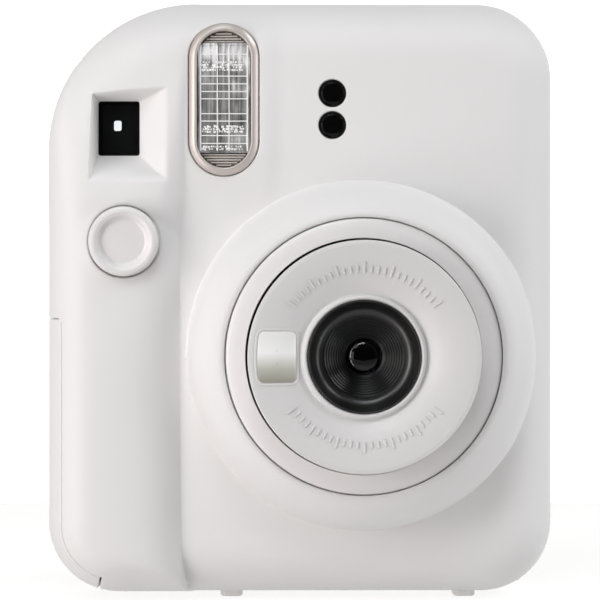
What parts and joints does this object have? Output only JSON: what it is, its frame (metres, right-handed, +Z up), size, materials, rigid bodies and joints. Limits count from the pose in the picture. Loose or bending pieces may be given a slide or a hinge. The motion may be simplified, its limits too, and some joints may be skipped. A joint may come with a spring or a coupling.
{
  "type": "instant film camera",
  "caption": "Instant film camera with a moulded side grip, twist-out lens barrel, upright flash, optical finder, swing-open film door and a film exit slot in the top.",
  "frame": {"origin": "middle of the bounding box in plan, at the level of the feet", "axes": "+X to the right when facing the lens, +Y from the lens to the film door, +Z up"},
  "size_m": [0.104, 0.0716, 0.122],
  "materials": {
    "shell": "satin off-white moulded shell",
    "lens_trim": "smooth off-white plastic",
    "flash_trim": "champagne-grey gloss plastic",
    "black_plastic": "matt black plastic",
    "black_gloss": "gloss black plastic",
    "optical_glass": "coated optical glass",
    "clear_plastic": "clear moulded plastic",
    "mirror": "mirror",
    "steel": "plain steel",
    "reflector": "bright plated reflector",
    "brass": "machined",
    "circuit_board": "green solder mask",
    "cell_wrap": "plain printed-free wrap",
    "grey_plastic": "grey moulded plastic",
    "foot_plastic": "moulded pad",
    "film_window_tint": "tinted window",
    "dial_white": "white disc"
  },
  "bodies": {
    "housing": {"front_cover": "shell", "rear_housing": "shell", "flash_bezel": "flash_trim", "film_chamber": "black_plastic", "dark_box": "black_plastic", "finder_tube": "black_plastic", "eyepiece_frame": "black_plastic", "battery_tray": "black_plastic", "release_switch": "black_plastic", "sensor_window_upper": "black_gloss", "sensor_window_lower": "black_gloss", "finder_front_window": "optical_glass", "eyepiece_lens": "optical_glass", "flash_lens": "clear_plastic", "flash_tube": "clear_plastic", "hinge_pin": "steel", "roller_bracket": "steel", "gear_plate": "steel", "drive_motor": "steel", "battery_contact_bridge": "steel", "battery_contact_positive": "steel", "battery_contact_negative": "steel", "case_screw_left": "steel", "case_screw_right": "steel", "flash_reflector": "reflector", "main_board": "circuit_board", "battery_cell_a": "cell_wrap", "battery_cell_b": "cell_wrap", "flash_capacitor": "cell_wrap", "foot_front_left": "foot_plastic", "foot_front_right": "foot_plastic", "foot_rear_left": "foot_plastic", "foot_rear_right": "foot_plastic"},
    "battery_cover_body": {"battery_cover": "shell"},
    "door": {"back_cover": "shell", "film_window": "film_window_tint", "counter_window": "clear_plastic"},
    "dial": {"counter_dial": "dial_white"},
    "latch": {"back_cover_latch": "grey_plastic"},
    "lens_ring": {"twist_ring": "lens_trim"},
    "barrel": {"lens_barrel": "lens_trim", "lens_faceplate": "lens_trim", "selfie_mirror": "mirror", "lens_funnel": "black_gloss", "front_lens": "optical_glass", "lens_cell": "black_plastic", "shutter_plate": "black_plastic", "rear_lens": "optical_glass", "shutter_solenoid": "steel"},
    "blade_a": {"shutter_blade_a": "steel"},
    "blade_b": {"shutter_blade_b": "steel"},
    "button": {"shutter_button": "lens_trim"},
    "drive": {"drive_roller": "steel"},
    "pinch": {"pinch_roller": "steel"},
    "idler_b": {"idler_gear_b": "brass"},
    "idler_a": {"idler_gear_a": "brass"},
    "pinion": {"motor_pinion": "brass"},
    "claw": {"film_claw": "steel"}
  },
  "joints": [
    {"name": "shutter_button_press", "type": "slide", "parent": "housing", "child": "button", "axis": [0, 1, 0], "range_m": [0, 0.0015], "stiffness_N_per_m": 600, "springref_m": -0.001},
    {"name": "lens_ring_turn", "type": "hinge", "parent": "housing", "child": "lens_ring", "pos_m": [0.01235, -0.02, 0.0497], "axis": [0, -1, 0], "range_deg": [-45, 20]},
    {"name": "lens_barrel_slide", "type": "slide", "parent": "lens_ring", "child": "barrel", "axis": [0, -1, 0], "range_m": [-0.0051, 0.0023]},
    {"name": "shutter_blade_a_turn", "type": "hinge", "parent": "barrel", "child": "blade_a", "pos_m": [0.01005, -0.02175, 0.0441], "axis": [0, -1, 0], "range_deg": [0, 40], "stiffness_Nm_per_rad": 0.0002, "springref_deg": -17.19},
    {"name": "shutter_blade_b_turn", "type": "hinge", "parent": "barrel", "child": "blade_b", "pos_m": [0.01465, -0.02085, 0.0441], "axis": [0, -1, 0], "range_deg": [-40, 0]},
    {"name": "back_cover_swing", "type": "hinge", "parent": "housing", "child": "door", "pos_m": [0.0482, 0.027, 0.056], "axis": [0, 0, -1], "range_deg": [0, 105]},
    {"name": "latch_slide", "type": "slide", "parent": "door", "child": "latch", "axis": [0, 0, -1], "range_m": [0, 0.004], "stiffness_N_per_m": 150, "springref_m": -0.002},
    {"name": "counter_dial_turn", "type": "hinge", "parent": "door", "child": "dial", "pos_m": [0.0287, 0.028, 0.0316], "axis": [0, 1, 0], "range_deg": [0, 327]},
    {"name": "battery_cover_off", "type": "slide", "parent": "housing", "child": "battery_cover_body", "axis": [-1, 0, 0], "range_m": [0, 0.02]},
    {"name": "drive_roller_spin", "type": "hinge", "parent": "housing", "child": "drive", "pos_m": [0.01235, 0.0242, 0.109], "axis": [1, 0, 0], "continuous": true},
    {"name": "pinch_roller_spin", "type": "hinge", "parent": "housing", "child": "pinch", "pos_m": [0.01235, 0.0178, 0.109], "axis": [1, 0, 0], "continuous": true},
    {"name": "idler_gear_b_spin", "type": "hinge", "parent": "housing", "child": "idler_b", "pos_m": [-0.023, 0.01561, 0.09846], "axis": [1, 0, 0], "continuous": true},
    {"name": "idler_gear_a_spin", "type": "hinge", "parent": "housing", "child": "idler_a", "pos_m": [-0.023, 0.00802, 0.08082], "axis": [1, 0, 0], "continuous": true},
    {"name": "motor_pinion_spin", "type": "hinge", "parent": "housing", "child": "pinion", "pos_m": [-0.023, 0.00597, 0.06819], "axis": [1, 0, 0], "continuous": true},
    {"name": "film_claw_push", "type": "slide", "parent": "housing", "child": "claw", "axis": [0, 0, 1], "range_m": [0, 0.0058], "stiffness_N_per_m": 60, "springref_m": -0.002}
  ],
  "couplings": [
    {"joint": "lens_barrel_slide", "follows": "lens_ring_turn", "m_per_rad": 0.006366},
    {"joint": "shutter_blade_b_turn", "follows": "shutter_blade_a_turn", "ratio": -1},
    {"joint": "pinch_roller_spin", "follows": "drive_roller_spin", "ratio": -1},
    {"joint": "idler_gear_b_spin", "follows": "drive_roller_spin", "ratio": -0.41667},
    {"joint": "idler_gear_a_spin", "follows": "drive_roller_spin", "ratio": 0.41667},
    {"joint": "motor_pinion_spin", "follows": "drive_roller_spin", "ratio": -1.25}
  ]
}
